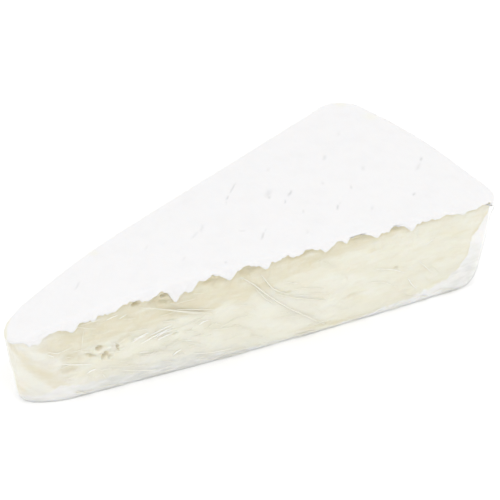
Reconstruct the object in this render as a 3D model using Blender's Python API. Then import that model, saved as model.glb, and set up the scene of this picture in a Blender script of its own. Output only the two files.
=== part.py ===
"""Brie wedge in cling film, +Z up, metres.

A long narrow wedge cut from a large flat wheel of soft white-rinded cheese, wrapped skin tight in clear
film, so that cheese and film are one closed solid. The nose is to -X, the rim of the wheel to +X, the cut
face that faces the front to -Y. The origin is under the middle of the box, on the flat underside.

Inside the script x runs from the nose towards the rim, and the wedge is centred at the end.
"""

import math

import bmesh
import bpy
from mathutils import Vector, noise

NAME = "brie_wedge"
MM = 0.001

# Plan of the wedge
LENGTH = 163.2 * MM  # nose to the straight chord between the rim's corners
NOSE_WIDTH = 11.9 * MM
RIM_CHORD = 82.4 * MM
WHEEL_RADIUS = 183.0 * MM
NOSE_ROUND = 5.5 * MM  # how far the nose's corners lie behind its tip
FAR_CORNER = 5.0 * MM  # how far the far rim corner is rounded back
FAR_CORNER_SHARE = 0.22  # share of the half chord that this rounding takes
NEAR_SWELL = 0.9 * MM  # the rim swells before its near corner
NEAR_SWELL_PLACE = -0.82  # in half chords
NEAR_SWELL_REACH = 0.3
NEAR_CORNER = 0.7 * MM  # and the corner itself is rounded back
NEAR_CORNER_SHARE = 0.08

# Height of the wedge
THICKNESS = 34.7 * MM
NOSE_SLUMP = 6.6 * MM  # how much lower the soft nose lies
SLUMP_REACH = 50.0 * MM
SLUMP_POWER = 1.6
NOSE_EDGE_DROP = 3.0 * MM
NOSE_EDGE_REACH = 6.0 * MM
RIM_EDGE_DROP = 1.6 * MM
RIM_EDGE_REACH = 4.0 * MM
CUT_EDGE_DROP = 0.7 * MM
CUT_EDGE_REACH = 2.5 * MM

# Walls, seen in section
NOSE_LEAN = 3.4 * MM  # how far the nose's foot lies behind its top
NOSE_LEAN_HEIGHT = 32.0 * MM
NOSE_LEAN_POWER = 1.2
NOSE_FRONT_LEAN = 9.5 * MM  # how much further its front corner leans
NOSE_BACK_LEAN = 6.0 * MM
NOSE_FOOT = 2.0 * MM  # and how much more where it rounds under
NOSE_FOOT_HEIGHT = 4.0 * MM
RIM_LEAN = 6.3 * MM  # how far the rim's foot lies inside its top edge
RIM_LEAN_POWER = 1.2
RIM_FOOT = 4.0 * MM  # and how much more where it rounds under
RIM_FOOT_HEIGHT = 7.0 * MM
CUT_RECESS = 1.1 * MM  # how far the paste lies behind the rind's edge
CUT_FLARE = 2.0 * MM  # the soft paste swells towards its foot, past mid length
CUT_FLARE_PLACE = 92.0 * MM
CUT_FLARE_REACH = 95.0 * MM
CUT_FOOT = 0.8 * MM  # rounding of the cut faces' lower edge
CUT_FOOT_HEIGHT = 2.4 * MM
CUT_POWER = 8  # how quickly a cut face's relief dies away inside the wedge

# The rind's edge, which overhangs the cut faces
RIND_DROP = 1.7 * MM
RIND_DROP_LEAST = 1.0 * MM
RIND_STEP = 0.3 * MM
BACK_EDGE_SHARE = 0.3  # how much of the front edge's overhang the back edge repeats
UNDERCUT = 0.5 * MM
UNDERCUT_HEIGHT = 2.6 * MM

# Teeth and bites of that edge in millimetres: x, half width, added drop, added overhang
RIND_EDGE = (
    (17.9, 3.6, 2.2, 0.3),
    (24.7, 5.0, 1.2, 0.0),
    (30.6, 4.0, 1.0, 0.2),
    (36.4, 2.4, -0.6, -0.2),
    (42.3, 4.0, 0.9, 0.0),
    (51.6, 3.2, 4.1, 0.4),
    (56.4, 3.6, 3.2, 0.2),
    (64.3, 2.8, -1.4, -0.9),
    (69.6, 2.8, 1.9, 0.2),
    (75.5, 4.2, -1.2, -0.4),
    (81.7, 2.4, 1.8, 0.3),
    (89.2, 2.6, -0.9, -0.3),
    (96.5, 3.6, -1.2, -0.6),
    (102.4, 2.4, 1.6, 0.3),
    (107.0, 3.0, -0.9, -0.5),
    (113.6, 4.6, -1.2, -1.9),
    (120.9, 3.0, 0.7, 0.2),
    (127.3, 3.4, -0.8, -1.1),
    (132.2, 2.6, 1.6, 0.4),
    (141.9, 2.2, 0.9, 0.0),
    (149.8, 5.0, 0.9, 0.2),
    (159.4, 2.8, -0.9, 0.0),
)

# Pits in millimetres: x, height, radius, depth, where the paste of the front cut face is broken
PITS = (
    (15.2, 18.0, 2.8, 0.7),
    (20.0, 10.0, 2.2, 0.8),
    (24.6, 17.0, 2.0, 1.3),
    (27.0, 12.8, 2.4, 1.5),
    (31.2, 9.8, 1.8, 0.8),
)

# Shallow dents of the rind in millimetres: x, y, radius, depth
DENTS = (
    (24.0, -1.0, 4.0, 0.5),
    (74.0, 1.2, 5.0, 0.4),
    (84.0, -6.5, 4.5, 0.4),
    (88.0, -14.0, 4.0, 0.6),
    (95.5, 13.5, 6.0, 0.5),
    (104.0, 3.0, 4.5, 0.4),
    (109.5, 1.5, 5.0, 0.5),
    (118.0, -14.0, 4.0, 0.5),
    (128.0, -7.8, 4.0, 0.4),
    (133.5, 12.0, 4.5, 0.5),
    (138.5, -1.8, 4.5, 0.4),
    (142.0, -24.5, 4.5, 0.4),
    (156.0, -11.5, 5.5, 0.6),
)

# Slow irregularity: depth, length, and the layer of noise that each reads
RIND_WAVE = 0.35 * MM
RIND_WAVE_LENGTH = 30.0 * MM
RIND_LAYER = 3.1
RIND_RAGGED = 0.5 * MM
RIND_RAGGED_LENGTH = 3.2 * MM
RAGGED_LAYER = 7.7
CUT_WAVE = 0.5 * MM
CUT_WAVE_LENGTH = 24.0 * MM
CUT_WAVE_SQUEEZE = 1.6  # the cut faces' waves are flatter than they are long
CUT_LAYER = 11.3

# Faces of the mesh
COLUMNS = 104
STRIPS = 14
WALL_ROWS = 11  # from the foot to the rind's edge
EDGE_ROWS = 3  # the rind's edge itself
ROWS = WALL_ROWS + EDGE_ROWS
ROW_CROWDING = 0.45  # 0 for even rows, 1 for rows that crowd most at the foot
SHARP_ANGLE = math.radians(40.0)

PASTE_COLOUR = (0.80, 0.75, 0.58, 1.0)
RIND_COLOUR = (0.89, 0.89, 0.87, 1.0)
FILM_ROUGHNESS = 0.25
RIND_ROUGHNESS = 0.55


def mix(low, high, share):
    return low + (high - low) * share


def eased(share):
    """0 to 1, level at both ends."""
    share = min(max(share, 0.0), 1.0)
    return share * share * (3.0 - 2.0 * share)


def fade(distance, reach):
    """1 at the edge, falling to 0 at the reach."""
    return max(0.0, 1.0 - max(distance, 0.0) / reach) ** 2


def bump(distance, half_width):
    """A round bump, 1 high, that ends at its half width."""
    share = min(abs(distance) / half_width, 1.0)
    return (1.0 - share * share) ** 2


def wave(x, y, layer, length):
    return noise.noise(Vector((x / length, y / length, layer)))


def half_width(x):
    return mix(NOSE_WIDTH, RIM_CHORD, x / LENGTH) / 2.0


def nose_line(across):
    """x of the nose's outline, where across runs from -1 at the front to 1 at the back."""
    return NOSE_ROUND * (1.0 - math.sqrt(max(0.0, 1.0 - across * across)))


def arc_height(half_chord):
    """Distance from the wheel's middle to a chord of the wheel."""
    return math.sqrt(WHEEL_RADIUS ** 2 - half_chord ** 2)


def rim_line(across):
    """x of the rim's outline: the wheel's arc, with its corners rounded and a swelling by the near one."""
    arc = arc_height(across * RIM_CHORD / 2.0) - arc_height(RIM_CHORD / 2.0)
    far = FAR_CORNER * fade(1.0 - across, FAR_CORNER_SHARE)
    near = NEAR_CORNER * fade(1.0 + across, NEAR_CORNER_SHARE)
    return LENGTH + arc + NEAR_SWELL * bump(across - NEAR_SWELL_PLACE, NEAR_SWELL_REACH) - far - near


def nose_inset(height, across):
    """How far the nose's wall lies behind its top edge."""
    lean = max(0.0, 1.0 - height / NOSE_LEAN_HEIGHT) ** NOSE_LEAN_POWER
    corner = NOSE_FRONT_LEAN if across < 0.0 else NOSE_BACK_LEAN
    return (NOSE_LEAN + corner * across * across) * lean + NOSE_FOOT * fade(height, NOSE_FOOT_HEIGHT)


def rim_inset(height):
    """How far the rim's wall lies inside its top edge."""
    lean = max(0.0, 1.0 - height / THICKNESS) ** RIM_LEAN_POWER
    return RIM_LEAN * lean + RIM_FOOT * fade(height, RIM_FOOT_HEIGHT)


def top_height(x, across):
    """Height of the rind over a point of the plan."""
    y = across * half_width(x)
    height = THICKNESS - NOSE_SLUMP * max(0.0, 1.0 - x / SLUMP_REACH) ** SLUMP_POWER
    height -= NOSE_EDGE_DROP * fade(x - nose_line(across), NOSE_EDGE_REACH)
    height -= RIM_EDGE_DROP * fade(rim_line(across) - x, RIM_EDGE_REACH)
    height -= CUT_EDGE_DROP * fade((1.0 - abs(across)) * half_width(x), CUT_EDGE_REACH)
    height += RIND_WAVE * wave(x, y, RIND_LAYER, RIND_WAVE_LENGTH)
    for dent_x, dent_y, radius, depth in DENTS:
        away = math.hypot(x - dent_x * MM, y - dent_y * MM)
        height -= depth * MM * bump(away, radius * MM)
    return height


def rind_edge(x, side):
    """Drop and overhang of the rind's edge. The back one is straighter, with the same teeth in reverse."""
    place = x if side < 0.0 else LENGTH - x
    drop = RIND_DROP + RIND_RAGGED * wave(place, 0.0, RAGGED_LAYER, RIND_RAGGED_LENGTH)
    out = 0.0
    for middle, width, more_drop, more_out in RIND_EDGE:
        share = bump(place - middle * MM, width * MM)
        drop += more_drop * MM * share
        out += more_out * MM * share
    return max(drop, RIND_DROP_LEAST), out if side < 0.0 else BACK_EDGE_SHARE * out


def edge_drop(x, across):
    """Drop of the rind's edge anywhere round the wedge, blended between front and back."""
    front, _ = rind_edge(x, -1.0)
    back, _ = rind_edge(x, 1.0)
    return mix(front, back, 0.5 + across / 2.0)


def row_height(row, top, drop):
    """Height of a row of the walls: rows crowd at the foot, and the last ones follow the rind's edge."""
    edge = top - drop
    if row <= WALL_ROWS:
        share = row / WALL_ROWS
        return (edge - RIND_STEP) * mix(share, share * share, ROW_CROWDING)
    share = (row - WALL_ROWS - 1) / (EDGE_ROWS - 1)
    return mix(edge + RIND_STEP, top, share)


def cut_relief(x, height, row, top, drop, side):
    """How far a cut face stands out of its plane."""
    _, out = rind_edge(x, side)
    below = top - drop - height
    relief = -CUT_RECESS - UNDERCUT * bump(below - UNDERCUT_HEIGHT, 2.0 * UNDERCUT_HEIGHT)
    if row > WALL_ROWS:
        relief = out
    relief += CUT_FLARE * bump(x - CUT_FLARE_PLACE, CUT_FLARE_REACH) * eased(1.0 - height / THICKNESS)
    relief -= CUT_FOOT * fade(height, CUT_FOOT_HEIGHT)
    relief += CUT_WAVE * wave(x, height * CUT_WAVE_SQUEEZE, CUT_LAYER + side, CUT_WAVE_LENGTH)
    if side < 0.0 and row <= WALL_ROWS:
        for pit_x, pit_height, radius, depth in PITS:
            away = math.hypot(x - pit_x * MM, height - pit_height * MM)
            relief -= depth * MM * bump(away, radius * MM)
    return relief


def placed(column, strip, row):
    """A point of the surface from its place on a block of COLUMNS by STRIPS by ROWS cells."""
    along = column / COLUMNS
    across = math.sin(math.pi * (strip / STRIPS - 0.5))
    side = -1.0 if across < 0.0 else 1.0
    rough_x = mix(nose_line(across), rim_line(across), along)
    drop = edge_drop(rough_x, across)
    height = row_height(row, top_height(rough_x, across), drop)
    x = mix(nose_line(across) + nose_inset(height, across), rim_line(across) - rim_inset(height), along)
    top = top_height(x, across)
    height = row_height(row, top, drop)
    relief = cut_relief(x, height, row, top, drop, side)
    y = across * half_width(x) + side * relief * abs(across) ** CUT_POWER
    return Vector((x, y, height))


def block(columns, strips, rows):
    """A closed box of unit cells, with a corner at the origin."""
    mesh = bmesh.new()
    bmesh.ops.create_cube(mesh, size=1.0)
    for axis, cells in enumerate((columns, strips, rows)):
        long_edges = [e for e in mesh.edges if abs(e.verts[0].co[axis] - e.verts[1].co[axis]) > 0.5]
        bmesh.ops.subdivide_edges(mesh, edges=long_edges, cuts=cells - 1, use_grid_fill=True)
    for vertex in mesh.verts:
        share = vertex.co + Vector((0.5, 0.5, 0.5))
        vertex.co = Vector((share.x * columns, share.y * strips, share.z * rows))
    return mesh


def material(name, colour, roughness):
    made = bpy.data.materials.new(name)
    made.use_nodes = True
    shader = made.node_tree.nodes["Principled BSDF"]
    shader.inputs["Base Color"].default_value = colour
    shader.inputs["Roughness"].default_value = roughness
    shader.inputs["Metallic"].default_value = 0.0
    return made


def wedge():
    """The wrapped wedge as one closed mesh, its underside one flat face until it is split in triangles."""
    mesh = block(COLUMNS, STRIPS, ROWS)
    half_cell = 0.5
    underside = []
    for face in mesh.faces:
        middle = face.calc_center_median()
        on_cut = not half_cell / 2.0 < middle.y < STRIPS - half_cell / 2.0
        face.material_index = 1 if on_cut and middle.z < WALL_ROWS + half_cell + half_cell / 2.0 else 0
        if middle.z < half_cell / 2.0:
            underside.append(face)
    for vertex in mesh.verts:
        cell = vertex.co
        vertex.co = placed(round(cell.x), round(cell.y), round(cell.z))
    bmesh.ops.dissolve_faces(mesh, faces=underside, use_verts=False)
    bmesh.ops.triangulate(mesh, faces=mesh.faces[:])
    bmesh.ops.recalc_face_normals(mesh, faces=mesh.faces[:])
    centre_on_underside(mesh)
    return mesh


def centre_on_underside(mesh):
    """Moves the origin under the middle of the box."""
    lowest = [min(vertex.co[axis] for vertex in mesh.verts) for axis in range(3)]
    highest = [max(vertex.co[axis] for vertex in mesh.verts) for axis in range(3)]
    middle = Vector(((lowest[0] + highest[0]) / 2.0, (lowest[1] + highest[1]) / 2.0, lowest[2]))
    bmesh.ops.translate(mesh, verts=mesh.verts[:], vec=-middle)


def main():
    for old in list(bpy.data.objects):
        bpy.data.objects.remove(old, do_unlink=True)
    collection = bpy.data.collections.new("Brie wedge")
    bpy.context.scene.collection.children.link(collection)
    mesh = wedge()
    data = bpy.data.meshes.new(NAME)
    mesh.to_mesh(data)
    mesh.free()
    data.materials.append(material("Rind", RIND_COLOUR, RIND_ROUGHNESS))
    data.materials.append(material("Paste under film", PASTE_COLOUR, FILM_ROUGHNESS))
    data.shade_smooth()
    data.set_sharp_from_angle(angle=SHARP_ANGLE)
    collection.objects.link(bpy.data.objects.new(NAME, data))


main()
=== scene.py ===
"""Looks of the brie wedge in cling film: the rind, the cheese inside it, the clear film pulled tight round
them, and the pinched folds of that film.

Lengths are millimetres until a mesh is made. Inside the shape functions x runs from the nose to the rim,
across runs from -1 at the front cut face to 1 at the back one, and z runs up from the flat underside.
"""

import math

import bpy
import numpy as np
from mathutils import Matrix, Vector


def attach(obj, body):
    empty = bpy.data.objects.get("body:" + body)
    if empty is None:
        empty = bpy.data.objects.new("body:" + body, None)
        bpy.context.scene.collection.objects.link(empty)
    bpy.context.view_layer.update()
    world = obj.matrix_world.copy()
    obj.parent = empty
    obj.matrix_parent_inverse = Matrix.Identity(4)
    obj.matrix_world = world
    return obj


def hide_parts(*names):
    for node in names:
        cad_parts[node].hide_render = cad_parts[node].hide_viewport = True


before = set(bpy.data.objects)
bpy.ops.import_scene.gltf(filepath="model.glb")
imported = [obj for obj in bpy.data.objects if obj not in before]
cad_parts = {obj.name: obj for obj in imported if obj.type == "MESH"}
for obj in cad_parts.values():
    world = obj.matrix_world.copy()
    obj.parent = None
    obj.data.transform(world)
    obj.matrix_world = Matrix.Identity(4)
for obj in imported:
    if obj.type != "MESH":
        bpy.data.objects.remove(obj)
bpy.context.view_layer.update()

NODE = "brie_wedge"

# Plan and height of the wedge, as in the solid
LENGTH = 163.2
NOSE_WIDTH = 11.9
RIM_CHORD = 82.4
WHEEL_RADIUS = 183.0
NOSE_ROUND = 5.5
FAR_CORNER = 5.0
FAR_CORNER_SHARE = 0.22
NEAR_SWELL = (0.9, -0.82, 0.3)  # size, then place and reach in half chords
NEAR_CORNER = 0.7
NEAR_CORNER_SHARE = 0.08
THICKNESS = 34.7
NOSE_SLUMP = 6.6
SLUMP_REACH = 50.0
SLUMP_POWER = 1.6
NOSE_EDGE = (3.0, 6.0)  # drop and reach of the rounding
RIM_EDGE = (1.6, 4.0)
CUT_EDGE = (0.7, 2.5)
ORIGIN_X = 84.15  # the solid's origin, under the middle of its box
ORIGIN_Y = -0.57

# Walls in section, as in the solid
NOSE_LEAN = 3.4
NOSE_LEAN_HEIGHT = 32.0
NOSE_FRONT_LEAN = 9.5
NOSE_BACK_LEAN = 6.0
NOSE_FOOT = (2.0, 4.0)
RIM_LEAN = 6.3
LEAN_POWER = 1.2
RIM_FOOT = (4.0, 7.0)
CUT_RECESS = 1.1
CUT_FLARE = 2.0
CUT_FLARE_PLACE = 92.0
CUT_FLARE_REACH = 95.0
CUT_FOOT = (0.8, 2.4)
UNDERCUT = (0.5, 2.6)

# The rind's edge over the cut faces: its drop, then teeth and bites: x, half width, added drop, overhang
RIND_DROP = 1.7
RIND_DROP_LEAST = 0.5
BACK_EDGE_SHARE = 0.3
RIND_EDGE = (
    (6.5, 3.4, 1.3, 0.0),
    (17.9, 3.6, 2.2, 0.3),
    (24.7, 5.0, 1.2, 0.0),
    (30.6, 4.0, 1.0, 0.2),
    (36.4, 2.4, -0.6, -0.2),
    (42.3, 4.0, 0.9, 0.0),
    (51.6, 3.2, 4.1, 0.4),
    (56.4, 3.6, 3.2, 0.2),
    (64.3, 2.8, -1.4, -0.9),
    (69.6, 2.8, 1.9, 0.2),
    (75.5, 4.2, -1.2, -0.4),
    (81.7, 2.4, 1.8, 0.3),
    (89.2, 2.6, -0.9, -0.3),
    (96.5, 3.6, -1.2, -0.6),
    (102.4, 2.4, 1.6, 0.3),
    (107.0, 3.0, -0.9, -0.5),
    (113.6, 4.6, -1.2, -1.9),
    (120.9, 3.0, 0.7, 0.2),
    (127.3, 3.4, -0.8, -1.1),
    (132.2, 2.6, 1.6, 0.4),
    (141.9, 2.2, 0.9, 0.0),
    (149.8, 5.0, 0.9, 0.2),
    (159.4, 2.8, -0.9, 0.0),
)

# Top of the rind that shows along the foot and the rim of a cut face: x, height
FOOT_RIND = (
    (0.0, 4.0), (8.0, 3.5), (14.0, 6.5), (21.0, 4.5), (30.0, 5.0), (38.0, 3.6), (47.0, 4.2), (52.0, 2.4),
    (60.0, 3.2), (72.0, 2.4), (86.0, 1.4), (96.0, 0.6), (114.0, 0.6), (122.0, 2.2), (131.0, 2.6),
    (140.0, 4.6), (147.0, 6.5), (151.0, 9.5), (154.0, 13.5), (155.0, 19.0), (157.5, 23.0), (160.0, 26.5),
    (163.0, 31.0), (167.0, 33.5),
)

# Underside of the ripe, darker paste of a cut face: x, height
RIPE_EDGE = (
    (0.0, 22.0), (14.0, 18.0), (24.0, 17.5), (35.0, 19.5), (50.0, 20.5), (64.0, 19.0), (75.0, 20.5),
    (90.0, 24.0), (110.0, 27.5), (130.0, 30.0), (167.0, 31.5),
)

# Places on the front cut face are read off its plane, so a mark that lies behind the plane moves by this much
# in x and z for each millimetre
SIGHT_SHIFT = (0.65, -0.76)

# Hollows and curds in the front cut face: x, z, half length, half height, tilt in degrees, depth, darkening
# as painted shade in the hollow (below zero it lightens a curd)
HOLLOWS = (
    (25.9, 18.2, 1.3, 0.9, 0.0, 1.6, 1.5),
    (27.6, 14.8, 1.8, 1.1, 50.0, 1.4, 1.4),
    (29.3, 13.7, 1.0, 0.7, 0.0, 1.0, 0.8),
    (31.6, 16.6, 0.6, 1.7, 10.0, 0.9, 1.0),
    (23.2, 15.9, 2.6, 0.6, -28.0, 0.8, 0.9),
    (25.7, 16.4, 1.2, 1.0, 0.0, -0.8, -0.4),
    (29.2, 17.0, 1.1, 1.2, 20.0, -0.8, -0.3),
    (23.6, 17.2, 1.4, 0.7, -20.0, -0.4, -0.2),
    (26.6, 13.2, 0.8, 0.7, 0.0, -0.5, -0.3),
    (17.8, 17.0, 4.0, 1.9, -14.0, 0.7, 0.5),
    (16.4, 12.6, 4.2, 1.9, -10.0, 0.7, 0.6),
    (34.5, 18.8, 4.5, 1.6, 12.0, 0.4, 0.4),
    (38.5, 30.4, 1.3, 0.9, 0.0, 1.3, 1.2),
    (47.8, 30.9, 1.5, 0.9, 0.0, 1.3, 1.2),
    (47.4, 28.4, 2.0, 0.9, -5.0, 0.9, 0.9),
    (44.8, 29.4, 2.2, 1.8, 0.0, 0.5, 0.5),
    (50.3, 15.7, 1.4, 0.5, -10.0, 0.5, 0.6),
    (63.5, 31.2, 4.0, 1.5, -8.0, 0.6, 0.7),
    (75.6, 31.8, 3.8, 2.6, 0.0, 0.6, 0.9),
    (93.0, 32.0, 7.0, 1.1, 3.0, 0.4, 0.5),
    (113.6, 32.0, 5.0, 1.2, 0.0, 0.5, 0.5),
    (126.6, 32.2, 2.6, 1.2, 0.0, 0.4, 0.5),
    (88.5, 19.6, 2.4, 0.6, -8.0, 0.4, 0.5),
    (126.6, 17.6, 0.9, 0.5, -30.0, 0.5, 0.7),
    (110.5, 11.6, 3.4, 1.0, 0.0, 0.3, 0.3),
    (102.0, 3.4, 14.0, 1.3, -6.0, 0.3, 0.5),
)

# Creases in the top rind, with y from the solid's origin: start x, y, end x, y, width, depth
CREASES = (
    (94.2, 13.8, 100.4, 18.6, 0.36, 0.9),
    (91.2, 11.5, 93.8, 13.7, 0.40, 0.9),
    (89.4, 8.9, 91.8, 12.0, 0.30, 0.3),
    (102.2, 4.2, 107.2, 8.8, 1.30, 0.5),
    (102.6, 3.8, 104.4, 5.0, 0.60, 0.8),
    (108.4, 1.0, 112.5, 3.6, 0.50, 1.1),
    (104.8, -1.9, 107.3, 0.2, 0.40, 0.8),
    (106.2, -10.0, 108.2, -7.6, 0.50, 0.5),
    (116.4, -15.0, 119.0, -12.3, 0.40, 1.0),
    (118.8, -13.0, 120.8, -11.8, 0.35, 0.4),
    (131.2, 10.7, 134.6, 14.1, 0.80, 0.6),
    (137.6, -2.2, 140.4, 0.9, 0.80, 0.4),
    (127.6, -8.5, 129.5, -5.9, 0.45, 0.7),
    (157.0, -9.1, 159.6, -7.0, 0.50, 1.0),
    (151.4, -13.0, 157.4, -9.0, 0.60, 0.4),
    (141.2, -23.4, 143.6, -22.3, 0.45, 1.0),
    (86.4, -13.8, 90.4, -10.4, 0.45, 0.9),
    (90.0, -10.8, 92.0, -9.4, 0.40, 0.4),
    (83.8, -4.9, 86.2, -6.6, 0.45, 0.5),
    (68.8, -0.1, 73.8, 2.6, 0.60, 0.4),
    (73.6, 1.2, 77.6, 5.2, 0.60, 0.4),
    (26.2, 1.8, 30.2, 4.7, 0.45, 0.5),
    (121.8, -0.5, 123.6, 1.5, 0.60, 0.4),
    (124.8, -22.2, 127.6, -19.8, 0.60, 0.4),
    (69.8, -17.5, 71.2, -16.3, 0.45, 0.6),
    (100.0, -20.0, 102.2, -18.0, 0.50, 0.3),
    (112.0, 17.0, 115.0, 19.2, 0.60, 0.3),
    (145.0, 20.0, 148.0, 23.0, 0.60, 0.3),
    (54.0, 4.0, 57.0, 6.4, 0.50, 0.3),
    (60.0, -8.0, 62.4, -6.2, 0.50, 0.3),
)

CREASE_SLIMNESS = 0.75

# How far in the rind is worn off the rounded nose at its back corner
NOSE_WEAR = 4.2

# Yellowish stains of the top rind, with y from the solid's origin: x, y, radius
STAINS = ((159.4, 36.4, 3.0), (162.6, 24.0, 4.0), (40.6, 13.6, 2.5))

# Pinched folds of the film on the front cut face: width, height, then points x, z
FRONT_FOLDS = (
    (0.60, 0.10, ((39.5, 29.2), (46.0, 26.4), (53.0, 23.4), (63.0, 19.6))),
    (0.50, 0.10, ((48.5, 25.4), (55.0, 23.4), (64.0, 20.8))),
    (0.50, 0.10, ((51.0, 24.0), (56.0, 21.8), (60.5, 20.2))),
    (0.80, 0.15, ((72.6, 30.4), (77.0, 26.2), (81.0, 21.5), (86.0, 16.2), (93.0, 10.0), (101.0, 3.6))),
    (0.60, 0.15, ((77.6, 24.4), (81.0, 19.5), (84.0, 16.5))),
    (0.60, 0.12, ((79.5, 29.2), (83.6, 22.6), (88.0, 19.4))),
    (0.60, 0.10, ((84.0, 20.6), (92.0, 16.4), (101.0, 13.0))),
    (0.60, 0.30, ((131.0, 12.2), (132.4, 9.4), (134.2, 7.2))),
    (0.50, 0.24, ((134.8, 17.8), (137.4, 14.6), (139.8, 11.8))),
    (0.30, 0.30, ((137.4, 23.2), (139.4, 24.2), (141.8, 24.8))),
    (0.35, 0.30, ((119.6, 19.2), (125.0, 17.4), (130.0, 14.6))),
    (0.35, 0.25, ((116.0, 15.0), (122.0, 13.4), (127.0, 9.8))),
    (0.42, 0.45, ((36.4, 16.7), (38.6, 17.6), (41.2, 18.0))),
    (0.42, 0.45, ((37.0, 17.6), (39.4, 18.2), (42.0, 18.9))),
    (0.42, 0.45, ((39.4, 15.5), (44.0, 17.0), (50.2, 18.5))),
    (0.38, 0.45, ((43.6, 15.9), (46.4, 17.2), (49.6, 17.4))),
    (0.38, 0.45, ((42.6, 17.8), (46.0, 18.6), (49.4, 19.6))),
    (0.38, 0.45, ((44.6, 15.2), (47.4, 16.0), (49.4, 16.2))),
    (0.38, 0.45, ((38.4, 12.2), (40.0, 12.1), (41.8, 11.5))),
    (0.46, 0.50, ((49.2, 7.7), (50.6, 8.7), (52.3, 9.3))),
    (0.42, 0.45, ((58.4, 16.6), (60.0, 17.4), (61.8, 17.5))),
    (0.46, 0.50, ((21.6, 9.5), (23.0, 10.2), (24.6, 10.4))),
    (0.30, 0.35, ((10.0, 20.4), (10.8, 19.9), (11.8, 19.1))),
    (0.26, 0.35, ((32.6, 26.9), (34.0, 27.3), (35.2, 27.9))),
    (0.26, 0.40, ((28.6, 28.0), (30.4, 28.6), (32.2, 28.8))),
    (0.26, 0.35, ((53.6, 12.3), (54.6, 11.8), (55.8, 11.7))),
    (0.26, 0.35, ((26.6, 7.8), (27.0, 6.8), (27.5, 5.8))),
    (0.30, 0.12, ((21.5, 26.4), (21.1, 23.5), (20.5, 18.2))),
    (0.45, 0.30, ((14.0, 15.6), (18.0, 14.2), (23.4, 12.6))),
    (0.35, 0.25, ((10.0, 21.6), (13.0, 20.2), (17.4, 20.8))),
    (0.40, 0.25, ((33.0, 7.2), (38.0, 5.4), (44.0, 3.8))),
    (0.35, 0.25, ((56.0, 6.4), (62.0, 5.0), (69.0, 4.4))),
    (0.40, 0.20, ((88.0, 23.8), (90.6, 22.6), (93.0, 21.6))),
)

# Folds scattered over a cut face: seed, count, low and high corner, tilt in degrees, then least and most
# length, width and height
FRONT_SCATTER = (
    (11, 50, (12, 3), (60, 19), -14.0, (2.0, 7.0), (0.16, 0.34), (0.06, 0.20)),
    (12, 30, (30, 7), (62, 19), 14.0, (1.5, 5.0), (0.16, 0.30), (0.10, 0.24)),
    (13, 24, (55, 4), (100, 19), -20.0, (3.0, 12.0), (0.16, 0.34), (0.04, 0.14)),
    (14, 16, (96, 4), (150, 28), -32.0, (2.0, 8.0), (0.16, 0.30), (0.04, 0.12)),
    (15, 50, (18, 1), (150, 3.5), -4.0, (2.0, 6.0), (0.20, 0.40), (0.08, 0.20)),
    (16, 12, (20, 20), (70, 29), -10.0, (3.0, 9.0), (0.16, 0.34), (0.04, 0.12)),
)
BACK_SCATTER = (
    (21, 110, (12, 3), (150, 22), -16.0, (2.0, 10.0), (0.16, 0.34), (0.06, 0.20)),
    (22, 22, (20, 8), (145, 29), -40.0, (6.0, 20.0), (0.30, 0.50), (0.10, 0.22)),
    (23, 50, (18, 1), (150, 3.5), 4.0, (2.0, 6.0), (0.20, 0.40), (0.08, 0.20)),
)

# Roughness: height, length of its cells (one, or one for each axis), seed, layers
EDGE_DROP_ROUGH = (0.42, 3.0, 5, 3)
EDGE_NICKS = (0.55, 1.3, 15, 1)
EDGE_FINE_NICKS = (0.35, 0.8, 17, 1)
EDGE_OUT_ROUGH = (0.25, 2.4, 9, 3)
EDGE_ROLL_ROUGH = (0.10, 1.8, 27, 2)
HOLLOW_WOBBLE_X = (0.35, 1.3, 81, 1)
HOLLOW_WOBBLE_Z = (0.35, 1.1, 83, 1)
PASTE_ROUGH = (0.20, (8.0, 9.0, 3.2), 21, 3)
PASTE_GRAIN = (0.06, (10.0, 9.0, 0.9), 24, 1)
END_ROUGH = (0.18, 5.0, 51, 3)
NOSE_STRIPES = (1.0, (3.0, 2.6, 1.2), 67, 2)
CREASE_WOBBLE_X = (0.15, 1.3, 41, 1)
CREASE_WOBBLE_Y = (0.15, 1.5, 42, 1)
FELT_COARSE = (0.07, 12.0, 43, 2)
FELT_FINE = (0.035, 1.8, 47, 2)
STAIN_WOBBLE = (0.5, 2.0, 53, 1)
WEAR_ROUGH = (0.5, 1.6, 57, 2)
FOOT_RIND_ROUGH = (0.8, (4.0, 9.0, 4.0), 31, 4)
RIPE_EDGE_ROUGH = (1.2, (9.0, 9.0, 4.0), 35, 3)
RIPE_ROUGH = (0.10, (9.0, 9.0, 2.0), 37, 3)
HAZE_ROUGH = (0.6, (11.0, 9.0, 3.2), 75, 4)
FOLD_WIDTH_ROUGH = (0.45, 1.7, 91, 1)

# Tilt in degrees of each roughness that runs at an angle over a cut face
PASTE_TILT = -14.0
PASTE_GRAIN_TILT = -10.0
RIPE_EDGE_TILT = -15.0
RIPE_TILT = -12.0
HAZE_TILT = -20.0

# How far apart in the noise the two cut faces and their rind's edges lie
FACE_SHIFT = 20.0
EDGE_SHIFT = 3.0

# Wrinkles of the film on a cut face: height where it is taut and where it gathers, tilt, cells, seed
WRINKLES = (
    (0.05, 0.19, -18.0, (6.0, 9.0, 1.8), 61),
    (0.12, 0.00, -24.0, (16.0, 9.0, 2.4), 65),
)
ROOF_WRINKLES = (0.12, (16.0, 8.0, 5.0), 71)

# How far each skin lies inside the solid, and its gaps
FILM_INSET = 0.25
FILM_GAP = 0.17
WALL_GAP = 0.22
END_GAP = 0.08
CHEESE_INSET = 0.45
CHEESE_TOP_GAP = 0.7
CHEESE_LIFT = 0.12

# Share of the milkiness that the film itself has; the rest is a whitish bloom where it clings to the cheese
FILM_HAZE = 0.2

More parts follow.
